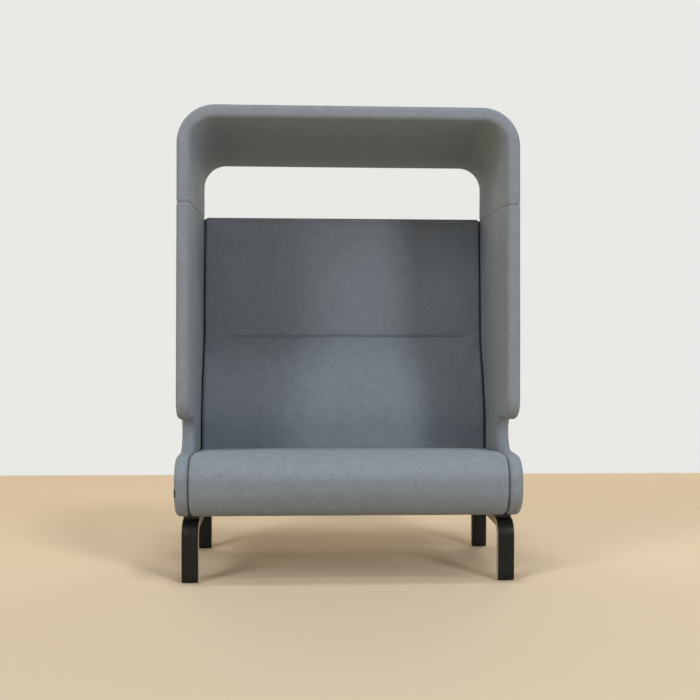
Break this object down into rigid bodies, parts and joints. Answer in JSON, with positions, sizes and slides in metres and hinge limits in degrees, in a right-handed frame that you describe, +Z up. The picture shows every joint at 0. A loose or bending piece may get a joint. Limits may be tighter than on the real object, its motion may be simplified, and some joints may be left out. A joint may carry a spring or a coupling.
{
  "type": "high-back sofa",
  "caption": "High-back two-seat sofa with upholstered side panels, a hood over the seat, a rear window gap and bent laminated-wood leg frames.",
  "frame": {"origin": "on the floor, at the middle of the overall width and depth", "axes": "+X to the right as seen by someone who faces the seat, +Y from the seat's nose to the back, +Z up"},
  "size_m": [1.25, 0.71, 1.727],
  "materials": {
    "felt": "matt melange wool felt, blue-grey",
    "foam": "cut polyurethane foam",
    "webbing": "woven elastic webbing",
    "dust_cloth": "black spun cloth",
    "tab_cloth": "plain woven tape",
    "bent_wood": "black-stained laminated wood, satin, with its layers' edges left pale",
    "frame_wood": "bare planed wood and plywood",
    "steel": "zinc-plated steel",
    "black_plastic": "black moulded plastic"
  },
  "bodies": {
    "root": {"left_leg_frame": "bent_wood", "right_leg_frame": "bent_wood", "floor_glides": "black_plastic", "rail_spacers": "black_plastic", "leg_bolts": "steel", "leg_washers": "steel", "leg_inserts": "steel", "base_left_rail": "frame_wood", "base_right_rail": "frame_wood", "base_front_rail": "frame_wood", "base_middle_rail": "frame_wood", "base_rear_rail": "frame_wood", "base_centre_rail": "frame_wood", "base_corner_blocks": "frame_wood", "seat_webbing": "webbing", "seat_foam": "foam", "seat_cover": "felt", "dust_cover": "dust_cloth", "back_left_rib": "frame_wood", "back_right_rib": "frame_wood", "back_centre_rib": "frame_wood", "back_top_rail": "frame_wood", "back_middle_rails": "frame_wood", "back_webbing": "webbing", "back_foam": "foam", "back_cover": "felt", "back_closing_board": "felt", "left_side_board": "frame_wood", "right_side_board": "frame_wood", "left_side_cover": "felt", "right_side_cover": "felt", "hood_shell": "frame_wood", "hood_cover": "felt", "hood_dowels": "frame_wood", "side_bolts": "steel", "side_inserts": "steel", "back_bolts": "steel", "back_inserts": "steel", "side_tab": "tab_cloth"}
  },
  "joints": []
}
